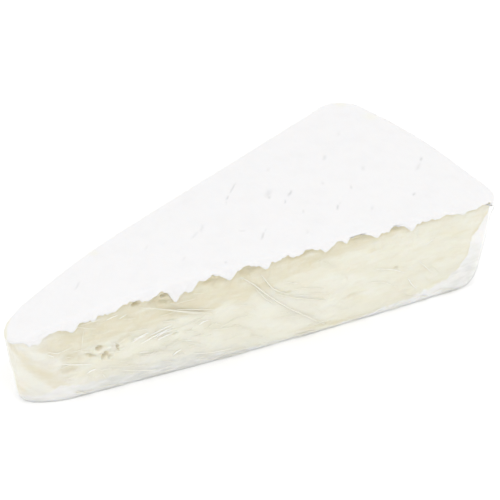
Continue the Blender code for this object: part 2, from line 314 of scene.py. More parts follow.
# Milkiness over a cut face: its least, the low left's share, top, depth, right end and fading length, the
# middle's share, x, half width, z and half height, the foot's share and reach, and the spread of its patches
HAZE_LEAST = 0.05
HAZE_LOW_LEFT = (0.34, 14.0, 7.0, 50.0, 30.0)
HAZE_MIDDLE = (0.16, 96.0, 26.0, 11.0, 9.0)
HAZE_FOOT = (0.25, 3.0)
HAZE_PATCHES = (0.35, 1.4)
HAZE_PATCH_MIDDLE = 0.55
HAZE_NOSE = (0.36, 0.52, 26.0)  # at the foot, above, and the height of the change
HAZE_STRIPES = 0.28
HAZE_ROOF = 0.01
HAZE_RIM = 0.03

# Cells along, across and up in each skin, and how much closer together its rows lie at the foot and the top
RIND_CELLS = (520, 150, 12)
RIND_TUCK_ROWS = 2
CHEESE_CELLS = (430, 50, 100)
FILM_CELLS = (340, 24, 104)
ROW_CROWDING = 0.05
NOSE_CROWDING = 0.25
STRIP_EVENNESS = 0.5
CORNER_POWER = 10


def mix(low, high, share):
    return low + (high - low) * share


def eased(share):
    """0 to 1, level at both ends."""
    share = np.clip(share, 0.0, 1.0)
    return share * share * (3.0 - 2.0 * share)


def fade(distance, reach):
    """1 at the edge, falling to 0 at the reach."""
    return np.clip(1.0 - np.maximum(distance, 0.0) / reach, 0.0, None) ** 2


def bump(distance, half_width):
    """A round bump, 1 high, that ends at its half width."""
    share = np.minimum(np.abs(distance) / half_width, 1.0)
    return (1.0 - share * share) ** 2


# Primes that mix a point and its seed, then each further step's shift and factor
HASH_PRIMES = (73856093, 19349663, 83492791, 668265263)
HASH_STEPS = ((13, 1274126177), (16, 374761393))
WORD = 0xFFFFFFFF
HALF_WORD = 0xFFFF
SEED_SHIFT = 31.7
ROUGH_TURN = 37.0
RIDGE_TURN = 29.0
RIDGE_SHRINK = 1.9
RIDGE_POWER = 4
RIDGE_TOTAL = 1.5


def lattice_value(x, y, z, seed):
    """A fixed random number from -1 to 1 at each whole-number point."""
    mixed = 0
    for value, prime in zip((x, y, z, seed), HASH_PRIMES):
        mixed = mixed ^ (value * prime)
    for shift, factor in HASH_STEPS:
        mixed = ((mixed ^ (mixed >> shift)) * factor) & WORD
    return ((mixed >> 8) & HALF_WORD) / (HALF_WORD / 2.0) - 1.0


def noise(point, length, seed):
    """Smooth random numbers from -1 to 1. A length for each axis stretches them."""
    place = np.stack(point, -1) / np.asarray(length, float) + SEED_SHIFT * seed
    cell = np.floor(place).astype(np.int64)
    inside = place - cell
    inside = inside ** 3 * (inside * (inside * 6.0 - 15.0) + 10.0)
    total = 0.0
    for corner in range(8):
        step = (corner & 1, corner >> 1 & 1, corner >> 2 & 1)
        share = 1.0
        for axis in range(3):
            share = share * (inside[..., axis] if step[axis] else 1.0 - inside[..., axis])
        total = total + share * lattice_value(*(cell[..., axis] + step[axis] for axis in range(3)), seed)
    return total


def turned(point, degrees):
    """The point turned about y, so that stretched noise runs at an angle over a cut face."""
    x, y, z = point
    cos, sin = math.cos(math.radians(degrees)), math.sin(math.radians(degrees))
    return cos * x + sin * z, y, cos * z - sin * x


def rough(point, length, seed, layers=3):
    """Noise with finer layers, each turned against the last so that no grid shows."""
    total = 0.0
    for layer in range(layers):
        size = np.asarray(length, float) / 2.0 ** layer
        total = total + noise(turned(point, ROUGH_TURN * layer), size, seed + layer) / 2.0 ** layer
    return total


def roughness(point, kind):
    """Rough relief of one of the kinds above."""
    height, length, seed, layers = kind
    return height * rough(point, length, seed, layers)


def ridges(point, length, seed, layers=2):
    """Sharp crests between smooth hollows, 0 to 1, as crumpled film has."""
    total = 0.0
    for layer in range(layers):
        size = np.asarray(length, float) / RIDGE_SHRINK ** layer
        crest = 1.0 - np.abs(noise(turned(point, RIDGE_TURN * layer), size, seed + layer))
        total = total + crest ** RIDGE_POWER / RIDGE_SHRINK ** layer
    return total / RIDGE_TOTAL


STROKE_REACH = 3.0  # in widths
STROKE_HALF = 0.56  # in lengths, from the middle to where a stroke has faded


def strokes(a, b, lines):
    """Height at points a, b of soft-ended lines given by start, end, width and height."""
    total = np.zeros_like(a)
    for a0, b0, a1, b1, width, height in lines:
        run_a, run_b = a1 - a0, b1 - b0
        length = math.hypot(run_a, run_b)
        width = CREASE_SLIMNESS * width
        reach = STROKE_REACH * width
        near = (a > min(a0, a1) - reach) & (a < max(a0, a1) + reach)
        near &= (b > min(b0, b1) - reach) & (b < max(b0, b1) + reach)
        along = ((a[near] - a0) * run_a + (b[near] - b0) * run_b) / length ** 2
        aside = ((a[near] - a0) * run_b - (b[near] - b0) * run_a) / length
        crest = np.exp(-(aside / width) ** 2) * bump(along - 0.5, STROKE_HALF)
        total[near] = np.maximum(total[near], height * crest)
    return total


def half_width(x):
    return mix(NOSE_WIDTH, RIM_CHORD, x / LENGTH) / 2.0


def nose_line(across):
    return NOSE_ROUND * (1.0 - np.sqrt(np.clip(1.0 - across * across, 0.0, None)))


def rim_line(across):
    half_chord = RIM_CHORD / 2.0
    to_chord = math.sqrt(WHEEL_RADIUS ** 2 - half_chord ** 2)
    arc = np.sqrt(WHEEL_RADIUS ** 2 - (across * half_chord) ** 2) - to_chord
    swell, place, reach = NEAR_SWELL
    corners = FAR_CORNER * fade(1.0 - across, FAR_CORNER_SHARE)
    corners = corners + NEAR_CORNER * fade(1.0 + across, NEAR_CORNER_SHARE)
    return LENGTH + arc + swell * bump(across - place, reach) - corners


def nose_inset(z, across):
    lean = np.clip(1.0 - z / NOSE_LEAN_HEIGHT, 0.0, None) ** LEAN_POWER
    corner = np.where(across < 0.0, NOSE_FRONT_LEAN, NOSE_BACK_LEAN)
    return (NOSE_LEAN + corner * across * across) * lean + NOSE_FOOT[0] * fade(z, NOSE_FOOT[1])


def rim_inset(z):
    lean = np.clip(1.0 - z / THICKNESS, 0.0, None) ** LEAN_POWER
    return RIM_LEAN * lean + RIM_FOOT[0] * fade(z, RIM_FOOT[1])


def top_height(x, across):
    """Height of the smooth rind over a point of the plan."""
    z = THICKNESS - NOSE_SLUMP * np.clip(1.0 - x / SLUMP_REACH, 0.0, None) ** SLUMP_POWER
    z = z - NOSE_EDGE[0] * fade(x - nose_line(across), NOSE_EDGE[1])
    z = z - RIM_EDGE[0] * fade(rim_line(across) - x, RIM_EDGE[1])
    return z - CUT_EDGE[0] * fade((1.0 - np.abs(across)) * half_width(x), CUT_EDGE[1])


def rind_edge_at(place, side):
    zero = np.zeros_like(place)
    point = (place, zero + EDGE_SHIFT * side, zero)
    drop = RIND_DROP + roughness(point, EDGE_DROP_ROUGH)
    drop = drop + roughness(point, EDGE_NICKS) + roughness(point, EDGE_FINE_NICKS)
    out = roughness(point, EDGE_OUT_ROUGH)
    for middle, width, more_drop, more_out in RIND_EDGE:
        share = bump(place - middle, width)
        drop = drop + more_drop * share
        out = out + more_out * share
    return np.maximum(drop, RIND_DROP_LEAST), out


def rind_edge(x, across):
    """Drop and overhang of the rind's ragged edge, the front one passing into the back one round the ends."""
    front, front_out = rind_edge_at(x, -1.0)
    back, back_out = rind_edge_at(LENGTH - x, 1.0)
    share = eased(0.5 + across / 2.0)
    return mix(front, back, share), mix(front_out, BACK_EDGE_SHARE * back_out, share)


def flare(x, z):
    """How far the foot of a cut face swells outward."""
    swell = CUT_FLARE * bump(x - CUT_FLARE_PLACE, CUT_FLARE_REACH)
    return swell * eased(1.0 - z / THICKNESS) - CUT_FOOT[0] * fade(z, CUT_FOOT[1])


HOLLOW_BEHIND = 0.4  # share of a hollow's depth at which it is seen
HOLLOW_SPREAD = 1.25


def hollow_share(x, z):
    """Depth of the hollows and curds, and the painted shade in them (negative on the curds)."""
    depth, hollow_shade = np.zeros_like(x), np.zeros_like(x)
    wobble_x = x + roughness((x, z, 0.0 * x), HOLLOW_WOBBLE_X)
    wobble_z = z + roughness((x, z, 0.0 * x), HOLLOW_WOBBLE_Z)
    for middle_x, middle_z, long, high, tilt, deep, painted_dark in HOLLOWS:
        cos, sin = math.cos(math.radians(tilt)), math.sin(math.radians(tilt))
        behind = CUT_RECESS + HOLLOW_BEHIND * deep
        aside_x = wobble_x - middle_x - SIGHT_SHIFT[0] * behind
        aside_z = wobble_z - middle_z - SIGHT_SHIFT[1] * behind
        a = (aside_x * cos + aside_z * sin) / long
        b = (aside_z * cos - aside_x * sin) / high
        share = bump(np.hypot(a, b), HOLLOW_SPREAD)
        depth += deep * share
        hollow_shade += painted_dark * share
    return depth, hollow_shade


def on_face(x, z, across):
    """Where a point of a cut face lies in the noise."""
    return x, FACE_SHIFT * np.where(across < 0.0, -1.0, 1.0), z


def paste_relief(x, z, across, edge):
    """How far the paste of a cut face stands out of the face's plane."""
    below = edge - z
    point = on_face(x, z, across)
    relief = -CUT_RECESS - UNDERCUT[0] * bump(below - UNDERCUT[1], 2.0 * UNDERCUT[1])
    relief = relief + roughness(turned(point, PASTE_TILT), PASTE_ROUGH)
    relief = relief + roughness(turned(point, PASTE_GRAIN_TILT), PASTE_GRAIN)
    return relief + flare(x, z)


END_SPREAD = 40.0
END_SINK = 0.05
NOSE_REACH = 10.0
STRIPE_SLANT = 0.7
STRIPE_STRETCH = 0.12
PLEAT_SHIFT = 3.0  # how far in y the film's pleats lie from the stripes under them


def end_relief(x, z, across):
    """How far the skin of the nose and the rim stands out."""
    return roughness((x, across * END_SPREAD, z), END_ROUGH) - END_SINK


def nose_nearness(x, z, across):
    """1 on the nose, falling to 0 a little way along the cut faces."""
    return fade(x - nose_line(across) - nose_inset(z, across), NOSE_REACH)


def nose_stripes(y, z):
    """Soft slanting stripes of the nose, about -1 to 1."""
    return roughness((0.0 * y, y - STRIPE_SLANT * z, STRIPE_STRETCH * (y + z)), NOSE_STRIPES)


class Lattice:
    """The surface of a block of columns by strips by rows, with the underside one polygon."""

    def __init__(self, columns, strips, rows, roof=True):
        self.cells = (columns, strips, rows)
        corners, quads = [], []
        for axis, end in ((0, 0), (0, columns), (1, 0), (1, strips), (2, rows)):
            if axis == 2 and not roof:
                continue
            first, second = [a for a in range(3) if a != axis]
            grid = np.indices((self.cells[first] + 1, self.cells[second] + 1)).reshape(2, -1).T
            place = np.zeros((len(grid), 3), np.int64)
            place[:, first], place[:, second], place[:, axis] = grid[:, 0], grid[:, 1], end
            width = self.cells[second] + 1
            start = sum(len(c) for c in corners)
            lines = np.arange(self.cells[first])[:, None] * width
            a = start + (lines + np.arange(self.cells[second])).ravel()
            quad = np.stack([a, a + width, a + width + 1, a + 1], -1)
            corners.append(place)
            quads.append(quad if (axis != 1) == (end > 0) else quad[:, ::-1])
        corners, quads = np.concatenate(corners), np.concatenate(quads)
        sizes = np.array(self.cells) + 1
        keys = (corners[:, 0] * sizes[1] + corners[:, 1]) * sizes[2] + corners[:, 2]
        _, kept, renamed = np.unique(keys, return_index=True, return_inverse=True)
        self.place, self.quads = corners[kept], renamed.ravel()[quads]
        self.loops = [self.loop(0)[::-1]] + ([] if roof else [self.loop(rows)])
        share = self.place / np.array(self.cells, float)
        self.along = share[:, 0]
        self.across = mix(np.sin(np.pi * (share[:, 1] - 0.5)), 2.0 * share[:, 1] - 1.0, STRIP_EVENNESS)
        self.side = np.where(self.across < 0.0, -1.0, 1.0)
        self.row = self.place[:, 2]
        self.on_roof = (self.row == rows) if roof else np.zeros(len(self.row), bool)
        self.on_nose = self.place[:, 0] == 0
        self.on_rim = self.place[:, 0] == columns

    def loop(self, row):
        """The vertices round one row of the walls, in order."""
        columns, strips, _ = self.cells
        loop = [(i, 0) for i in range(columns)] + [(columns, j) for j in range(strips)]
        loop += [(i, strips) for i in range(columns, 0, -1)] + [(0, j) for j in range(strips, 0, -1)]
        level = np.nonzero(self.place[:, 2] == row)[0]
        named = {(int(i), int(j)): int(n) for n, (i, j) in zip(level, self.place[level][:, :2])}
        return [named[place] for place in loop]

    def plan(self, height_of, inset):
        """x, z and top on the plain wedge; height_of gives z from x and the top's height."""
        across = self.across
        x = mix(nose_line(across) + inset, rim_line(across) - inset, self.along)
        z = height_of(x, top_height(x, across))
        near = nose_line(across) + nose_inset(z, across) + inset
        x = mix(near, rim_line(across) - rim_inset(z) - inset, self.along)
        top = top_height(x, across) - inset
        return x, height_of(x, top), top

    def moved_out(self, x, z, walls, ends, inset):
        """Points with the cut faces and the ends moved outward."""
        outward = self.side * walls * np.abs(self.across) ** CORNER_POWER
        y = self.across * (half_width(x) - inset) + outward
        x = x + np.where(self.on_rim, ends, 0.0) - np.where(self.on_nose, ends, 0.0)
        return np.stack([x, y, z], -1)

    def faces(self):
        return [tuple(quad) for quad in self.quads.tolist()] + [tuple(loop) for loop in self.loops]


MILLIMETRE = 0.001


def evened_rows(grid):
    """Share of the height of each row, the rows crowding towards the foot and the top."""
    share = grid.row / float(grid.cells[2])
    return share - ROW_CROWDING * np.sin(2.0 * np.pi * share)


def mesh_piece(name, points, faces, floats):
    """An object from points in millimetres, smooth but for its flat ends, with numbers on its vertices."""
    mesh = bpy.data.meshes.new(name)
    mesh.from_pydata(((points - np.array([ORIGIN_X, ORIGIN_Y, 0.0])) * MILLIMETRE).tolist(), [], faces)
    for label, values in floats.items():
        mesh.attributes.new(label, "FLOAT", "POINT").data.foreach_set("value", np.asarray(values, np.float32))
    mesh.polygons.foreach_set("use_smooth", [len(face) == 4 for face in faces])
    mesh.update()
    piece = bpy.data.objects.new(name, mesh)
    bpy.context.scene.collection.objects.link(piece)
    return piece


CREASE_RELIEF = 0.2
EDGE_ROLL = 1.5  # how soon the skirt reaches the edge's overhang
EDGE_PINCH = (0.30, 0.35)  # how far in, and over which share of the skirt
FRONT_SHOULDER = -0.7
BACK_SHOULDER = 0.25
END_SHOULDER = (-0.3, 0.25)  # at the edge and at the top
ROLL_ROUGH_SPREAD = 3.0
TUCK_IN = (0.9, 2.6)  # how far in the two rows under the edge lie
TUCK_UP = (0.15, 0.6)
WEAR_FADE = 0.9
WEAR_FROM = 0.6  # how far towards the front the wear of the nose begins, in half widths
WEAR_STOP = (4.0, 3.4)


def top_relief(x, y):
    """Height over the smooth rind of its felt, and how much of a crease is there, which is darkened as
    painted shade.
    """
    point = (x, y, 0.0 * x)
    aside = y - ORIGIN_Y
    wavy_x, wavy_y = x + roughness(point, CREASE_WOBBLE_X), aside + roughness(point, CREASE_WOBBLE_Y)
    crease = strokes(wavy_x, wavy_y, CREASES)
    felt = roughness(point, FELT_COARSE) + roughness(point, FELT_FINE)
    return felt - CREASE_RELIEF * crease, crease


def make_rind():
    """The top rind: a sheet with a skirt that ends in the ragged edge and turns in under itself."""
    grid = Lattice(*RIND_CELLS)
    grid.along = grid.along * (1.0 + NOSE_CROWDING * (1.0 - grid.along))
    skirt_rows = RIND_CELLS[2] - RIND_TUCK_ROWS
    rise = np.clip((grid.row - RIND_TUCK_ROWS) / skirt_rows, 0.0, 1.0)

    def height(x, top):
        return top - (1.0 - rise) * rind_edge(x, grid.across)[0]

    x, z, _ = grid.plan(height, CHEESE_INSET)
    _, out = rind_edge(x, grid.across)
    under = np.clip(RIND_TUCK_ROWS - grid.row, 0, RIND_TUCK_ROWS)
    y = grid.across * half_width(x)
    point = (x, y, z)
    rolled = out * eased((1.0 - rise) * EDGE_ROLL) - EDGE_PINCH[0] * fade(rise, EDGE_PINCH[1])
    rolled = rolled + mix(FRONT_SHOULDER, BACK_SHOULDER, 0.5 + grid.across / 2.0) * rise ** 2
    rolled = rolled + roughness(point, EDGE_ROLL_ROUGH) * eased((1.0 - rise) * ROLL_ROUGH_SPREAD)
    tucked = np.where(under == 1, -TUCK_IN[0], -TUCK_IN[1])
    walls = np.where(under == 0, rolled, tucked)
    ends = np.where(under == 0, mix(*END_SHOULDER, rise), tucked)
    felt, crease = top_relief(x, y)
    z = z + felt * rise + TUCK_UP[0] * (under == 1) + TUCK_UP[1] * (under == 2)
    points = grid.moved_out(x, z, walls, ends, CHEESE_INSET)
    wobble = roughness(point, STAIN_WOBBLE)
    stain = sum(bump(np.hypot(x - a, y - ORIGIN_Y - b) + wobble, size) for a, b, size in STAINS)
    worn_to = NOSE_WEAR * np.clip((grid.across + WEAR_FROM) / (1.0 + WEAR_FROM), 0.0, 1.0)
    worn_to = worn_to + roughness(point, WEAR_ROUGH)
    stopped = np.clip(WEAR_STOP[0] * grid.across + WEAR_STOP[1], 0.0, 1.0)
    bare = eased((worn_to - x + nose_line(grid.across)) / WEAR_FADE) * stopped
    # The crease share goes to the material as painted shade in the creases
    floats = {"crease": crease * grid.on_roof, "stain": stain, "bare": bare}
    return mesh_piece("rind", points, grid.faces(), floats)


RIND_EVERYWHERE = 4.0
FRONT_ONLY = 2.0  # how fast the hollows end towards the middle of the nose and the rim

# Ripeness of the paste: over its edge as share and blend, under the rind as share and reach (painted shade
# of the overhanging rind as well as ripening), to the right as share, x and length, beside the rim's rind as
# share, reach, x and length, and on the nose as its middle and its stripes
RIPE_ABOVE = (0.50, 4.0)
RIPE_AND_SHADE_UNDER_RIND = (0.50, 2.6)
RIPE_RIGHT = (0.10, 100.0, 25.0)
RIPE_AT_RIM = (0.35, 3.0, 146.0, 8.0)
RIPE_NOSE = (0.24, 0.60)
# Share of the bloom taken away where the hollows are painted dark as shade
SHADE_CLEARS_BLOOM = 0.6

# Greyness of the foot, the gathered film's grey with painted shade: its least, then share, x and half width
# of two places; where it ends, as height and depth, then x and length; and the rim's, as share, height and
# depth, then x and length
FOOT_LEAST = 0.12
FOOT_PLACES = ((1.0, 50.0, 36.0), (0.45, 0.0, 14.0))
FOOT_END = (8.0, 4.0, 75.0, 30.0)
RIM_GREY = (0.35, 18.0, 10.0, 140.0, 12.0)


def ripeness_and_shade(x, z, across, edge, inside_rind):
    """How ripe, and so how dark, the paste is, with painted shade under the rind's edge."""
    point = on_face(x, z, across)
    ripe_edge = np.interp(x, *zip(*RIPE_EDGE)) + roughness(turned(point, RIPE_EDGE_TILT), RIPE_EDGE_ROUGH)
    ripe_and_shade = RIPE_ABOVE[0] * eased((z - ripe_edge) / RIPE_ABOVE[1] + 0.5)
    # Painted shade under the overhanging rind's edge, together with the paste's ripening there
    ripe_and_shade = ripe_and_shade + RIPE_AND_SHADE_UNDER_RIND[0] * fade(edge - z, RIPE_AND_SHADE_UNDER_RIND[1])
    ripe_and_shade = ripe_and_shade + roughness(turned(point, RIPE_TILT), RIPE_ROUGH)
    share, place, length = RIPE_RIGHT
    ripe_and_shade = ripe_and_shade + share * eased((x - place) / length)
    share, reach, place, length = RIPE_AT_RIM
    ripe_and_shade = ripe_and_shade + share * fade(-inside_rind, reach) * eased((x - place) / length)
    on_nose = RIPE_NOSE[0] + RIPE_NOSE[1] * nose_stripes(across * half_width(x), z)
    return mix(ripe_and_shade, on_nose, nose_nearness(x, z, across))


def foot_grey_and_shade(x, z):
    """How grey the rind is at the foot, with painted shade there, and low on the rim."""
    foot = FOOT_LEAST + sum(share * bump(x - place, reach) for share, place, reach in FOOT_PLACES)
    height, depth, place, length = FOOT_END
    foot = foot * eased((height - z) / depth) * (1.0 - eased((x - place) / length))
    share, height, depth, place, length = RIM_GREY
    return foot + share * eased((height - z) / depth) * eased((x - place) / length)


def make_cheese():
    """The paste, with the rind of the rim, the foot and the underside on it."""
    grid = Lattice(*CHEESE_CELLS, roof=False)
    rise = evened_rows(grid)
    x, z, top = grid.plan(lambda x, top: rise * (top - CHEESE_TOP_GAP), CHEESE_INSET)
    drop, _ = rind_edge(x, grid.across)
    edge = top - drop
    depth, hollow_shade = hollow_share(x, z)
    front = eased(-FRONT_ONLY * grid.across)
    walls = paste_relief(x, z, grid.across, edge) - depth * front
    skin = end_relief(x, z, grid.across)
    points = grid.moved_out(x, np.maximum(z, 0.0) + CHEESE_LIFT, walls, skin, CHEESE_INSET)
    wander = roughness(on_face(x, z, grid.across), FOOT_RIND_ROUGH)
    inside_rind = np.interp(x, *zip(*FOOT_RIND)) + wander - z
    inside_rind = np.where(grid.on_rim | (grid.row == 0), RIND_EVERYWHERE, inside_rind)
    # The hollows' painted shade is added to the ripeness
    ripe_and_shade = ripeness_and_shade(x, z, grid.across, edge, inside_rind) + hollow_shade * front
    bloom = (1.0 - FILM_HAZE) * np.where(grid.on_rim, 0.0, haze_over(x, z, grid.across))
    bloom = bloom * (1.0 - SHADE_CLEARS_BLOOM * np.clip(hollow_shade, 0.0, 1.0))
    foot = foot_grey_and_shade(x, z)
    floats = {"inside_rind": inside_rind, "ripe_and_shade": ripe_and_shade, "bloom": bloom, "foot": foot}
    return mesh_piece("cheese", points, grid.faces(), floats)


FILM_OVER_EDGE = 0.6  # share of the rind's overhang that the film follows
FILM_DRAPE = 7.0
GATHER_FOOT = 6.0
GATHER_NOSE = (0.9, 14.0)
PLEAT_HEIGHT = 0.15
PLEAT_SPREAD = 0.6
RIM_PLEATS = 0.3
CLINGING = 0.15  # how loose the film is where it lies on rind
LOOSENING = 1.5


def film_wall(x, z, across):
    """How far the taut film over a cut face stands out of the face's plane."""
    point = on_face(x, z, across)
    drop, out = rind_edge(x, across)
    edge = top_height(x, across) - drop
    bare = paste_relief(x, z, across, edge)
    taut = mix(-CUT_RECESS, FILM_OVER_EDGE * out, fade(edge - z, FILM_DRAPE)) + flare(x, z)
    gather = np.clip(fade(z, GATHER_FOOT) + GATHER_NOSE[0] * fade(x, GATHER_NOSE[1]), 0.0, 1.0)
    wall = np.maximum(taut, bare - FILM_INSET) + WALL_GAP
    for on_taut, on_gathered, tilt, length, seed in WRINKLES:
        wall = wall + mix(on_taut, on_gathered, gather) * ridges(turned(point, tilt), length, seed)
    return wall


def haze_over(x, z, across):
    """Milkiness of the film over the cut faces and the nose."""
    share, height, depth, place, length = HAZE_LOW_LEFT
    low_left = share * eased((height - z) / depth) * (1.0 - eased((x - place) / length))
    share, middle_x, half_x, middle_z, half_z = HAZE_MIDDLE
    middle = share * bump(x - middle_x, half_x) * bump(z - middle_z, half_z)
    streaky = turned(on_face(x, z, across), HAZE_TILT)
    patch = eased(HAZE_PATCH_MIDDLE + roughness(streaky, HAZE_ROUGH))
    face = HAZE_LEAST + low_left + middle + HAZE_FOOT[0] * fade(z, HAZE_FOOT[1])
    face = face * mix(*HAZE_PATCHES, patch)
    at_foot, above, height = HAZE_NOSE
    stripes = nose_stripes(across * half_width(x) + PLEAT_SHIFT, z)
    nose = mix(at_foot, above, eased(z / height)) + HAZE_STRIPES * stripes
    return mix(face, nose, nose_nearness(x, z, across))


def make_film():
    """The clear film, closed all round."""
    grid = Lattice(*FILM_CELLS)
    rise = evened_rows(grid)
    x, z, top = grid.plan(lambda x, top: rise * top, FILM_INSET)
    y = grid.across * half_width(x)
    walls = film_wall(x, z, grid.across)
    pleats = eased(0.5 + PLEAT_SPREAD * nose_stripes(y + PLEAT_SHIFT, z))
    pleats = PLEAT_HEIGHT * pleats * np.where(grid.on_nose, 1.0, RIM_PLEATS)
    ends = end_relief(x, z, grid.across) + END_GAP + pleats
    height, length, seed = ROOF_WRINKLES
    over = FILM_GAP + height * ridges((x, y, 0.0 * z), length, seed)
    z = z + np.where(grid.on_roof, over, 0.0)
    haze = FILM_HAZE * haze_over(x, z, grid.across)
    haze = np.where(grid.on_roof, HAZE_ROOF, np.where(grid.on_rim, HAZE_RIM, haze))
    drop, _ = rind_edge(x, grid.across)
    loose = mix(CLINGING, 1.0, eased((top - drop - z) / LOOSENING))
    loose = np.where(grid.on_roof, CLINGING, loose)
    points = grid.moved_out(x, z, walls, ends, FILM_INSET)
    return mesh_piece("film", points, grid.faces(), {"haze": haze, "loose": loose})


TILT_SPREAD = 11.0
BOW = 0.12  # spread of a fold's bow, in its half lengths


def random_folds(seed, count, low, high, tilt, lengths, widths, heights):
    """Short folds scattered over a rectangle, most of them near one tilt in degrees."""
    draw = np.random.default_rng(seed)
    folds = []
    for _ in range(count):
        a, b = draw.uniform(low[0], high[0]), draw.uniform(low[1], high[1])
        angle = math.radians(tilt + draw.normal(0.0, TILT_SPREAD))
        run = draw.uniform(*lengths) / 2.0
        step_a, step_b = run * math.cos(angle), run * math.sin(angle)
        bow_a, bow_b = draw.normal(0.0, BOW * run, 2)
        path = ((a - step_a, b - step_b), (a + bow_a, b + bow_b), (a + step_a, b + step_b))
        folds.append((draw.uniform(*widths), draw.uniform(*heights), path))
    return folds


CURVE_STEPS = 12
FEWEST_STEPS = 6


def smooth_path(points, step):
    """A Catmull-Rom curve through the points, at even steps."""
    points = np.array(points, float)
    if len(points) > 2:
        ends = np.vstack([2 * points[0] - points[1], points, 2 * points[-1] - points[-2]])
        curve = []
        for k in range(1, len(ends) - 2):
            p0, p1, p2, p3 = ends[k - 1:k + 3]
            t = np.linspace(0.0, 1.0, CURVE_STEPS, endpoint=False)[:, None]
            curve.append(0.5 * (2 * p1 + (p2 - p0) * t + (2 * p0 - 5 * p1 + 4 * p2 - p3) * t ** 2
                                + (3 * p1 - p0 - 3 * p2 + p3) * t ** 3))
        points = np.vstack(curve + [points[-1:]])
    run = np.concatenate([[0.0], np.cumsum(np.hypot(*np.diff(points, axis=0).T))])
    at = np.linspace(0.0, run[-1], max(FEWEST_STEPS, int(run[-1] / step)) + 1)
    return np.stack([np.interp(at, run, points[:, 0]), np.interp(at, run, points[:, 1])], -1)


# Section of a fold: place across it in widths, height in heights; below zero it sinks under the film
FOLD_SECTION = ((-1.0, -1.0), (-0.6, 0.5), (0.0, 1.0), (0.6, 0.5), (1.0, -1.0))
FOLD_SLIMNESS = 0.35
FOLD_LOWNESS = 0.4
FOLD_SINK = 0.06
FOLD_BEHIND = 0.8
# The white of the higher folds is a painted glint
FOLD_HEIGHTS = (0.10, 0.45)  # from cream folds to white ones
FOLD_STEP = 0.45
FOLD_TAPER = 0.7
FOLD_END_WIDTH = 0.35
FOLD_LOWEST = 0.4  # least height over the underside
FOLD_OFF_NOSE = 0.5


def fold_lines(fold):
    """Two coordinates and a height at each point of a fold's section, all along it."""
    width, height, path = fold
    middle = smooth_path(path, FOLD_STEP)
    heading = np.gradient(middle, axis=0)
    heading = heading / np.maximum(np.hypot(*heading.T), 1e-9)[:, None]
    aside = np.stack([-heading[:, 1], heading[:, 0]], -1)
    share = np.linspace(-1.0, 1.0, len(middle))
    taper = np.clip(1.0 - share ** 2, 0.0, None) ** FOLD_TAPER
    vary = 1.0 + roughness((middle[:, 0], middle[:, 1], 0.0 * share), FOLD_WIDTH_ROUGH)
    rows = []
    for place, level in FOLD_SECTION:
        spot = middle + aside * (place * FOLD_SLIMNESS * width * mix(FOLD_END_WIDTH, 1.0, taper))[:, None]
        lift = level * FOLD_LOWNESS * height * taper * vary if level > 0.0 else -FOLD_SINK + 0.0 * taper
        rows.append(np.column_stack([spot, lift]))
    return np.stack(rows, 1)


def on_cut(x, z, lift, across):
    """Points on the film over a cut face, kept off its foot and off the nose."""
    z = np.clip(z + SIGHT_SHIFT[1] * FOLD_BEHIND, FOLD_LOWEST, None)
    off_nose = nose_line(across) + nose_inset(z, across) + FOLD_OFF_NOSE
    x = np.maximum(x + SIGHT_SHIFT[0] * FOLD_BEHIND, off_nose)
    wall = film_wall(x, z, np.full_like(x, across)) + lift
    return np.stack([x, across * (half_width(x) - FILM_INSET + wall), z], -1)


def make_folds():
    """All the film's pinched folds as one piece."""
    front = list(FRONT_FOLDS) + [fold for scatter in FRONT_SCATTER for fold in random_folds(*scatter)]
    back = [fold for scatter in BACK_SCATTER for fold in random_folds(*scatter)]
    points, faces, glint_whiteness = [], [], []
    start = 0
    around = len(FOLD_SECTION)
    for folds, across in ((front, -1.0), (back, 1.0)):
        lines = [fold_lines(fold) for fold in folds]
        points.append(on_cut(*np.concatenate([line.reshape(-1, 3) for line in lines]).T, across))
        for line, (_, height, _) in zip(lines, folds):
            count = len(line)
            # Higher folds get more white, a painted glint
            white = eased((height - FOLD_HEIGHTS[0]) / (FOLD_HEIGHTS[1] - FOLD_HEIGHTS[0]))
            glint_whiteness += [white] * count * around
            for i in range(count - 1):
                for j in range(around):
                    a, b = start + i * around + j, start + i * around + (j + 1) % around
                    faces.append((a, b, b + around, a + around))
            faces.append(tuple(start + j for j in reversed(range(around))))
            faces.append(tuple(start + (count - 1) * around + j for j in range(around)))
            start += count * around
    return mesh_piece("film_folds", np.concatenate(points), faces, {"glint_whiteness": glint_whiteness})


